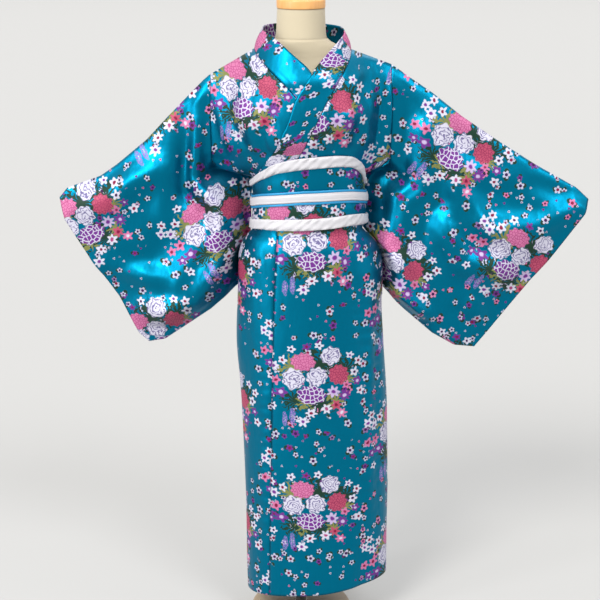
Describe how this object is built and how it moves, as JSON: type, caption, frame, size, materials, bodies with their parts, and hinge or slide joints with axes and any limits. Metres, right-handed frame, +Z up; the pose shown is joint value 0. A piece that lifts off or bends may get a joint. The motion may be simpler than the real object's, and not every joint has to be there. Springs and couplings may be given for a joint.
{
  "type": "kimono with obi worn on a limbless dress form",
  "caption": "Full-length kimono in flowered satin with wide hanging sleeves, a crossed collar and a padded-edge obi, worn hollow on a limbless dress form on a pole and round base.",
  "frame": {"origin": "centre of the round base's underside, on the floor under the pole", "axes": "+Z up along the pole, -Y towards the front of the garment, +X towards the wearer's left"},
  "size_m": [1.2273, 0.2529, 1.495],
  "materials": {
    "flowered_satin": "teal polyester satin with a printed spray of flowers, soft sheen",
    "white_satin": "white satin, lightly wrinkled",
    "pale_blue_satin": "light blue satin piping",
    "form_jersey": "beige jersey stretched over the form",
    "cap_wood": "tan turned wood, satin varnish",
    "pole_steel": "brushed",
    "base_enamel": "grey-brown satin enamel"
  },
  "bodies": {
    "root": {"body_left": "flowered_satin", "body_right": "flowered_satin", "overlap_left": "flowered_satin", "overlap_right": "flowered_satin", "sleeve_left": "flowered_satin", "sleeve_right": "flowered_satin", "collar": "flowered_satin", "obi_band": "flowered_satin", "obi_top_edge": "white_satin", "obi_bottom_edge": "white_satin", "obi_cord": "white_satin", "obi_piping_upper": "pale_blue_satin", "obi_piping_lower": "pale_blue_satin", "form_torso": "form_jersey", "form_cap": "cap_wood", "form_pole": "pole_steel", "form_base": "base_enamel"}
  },
  "joints": []
}
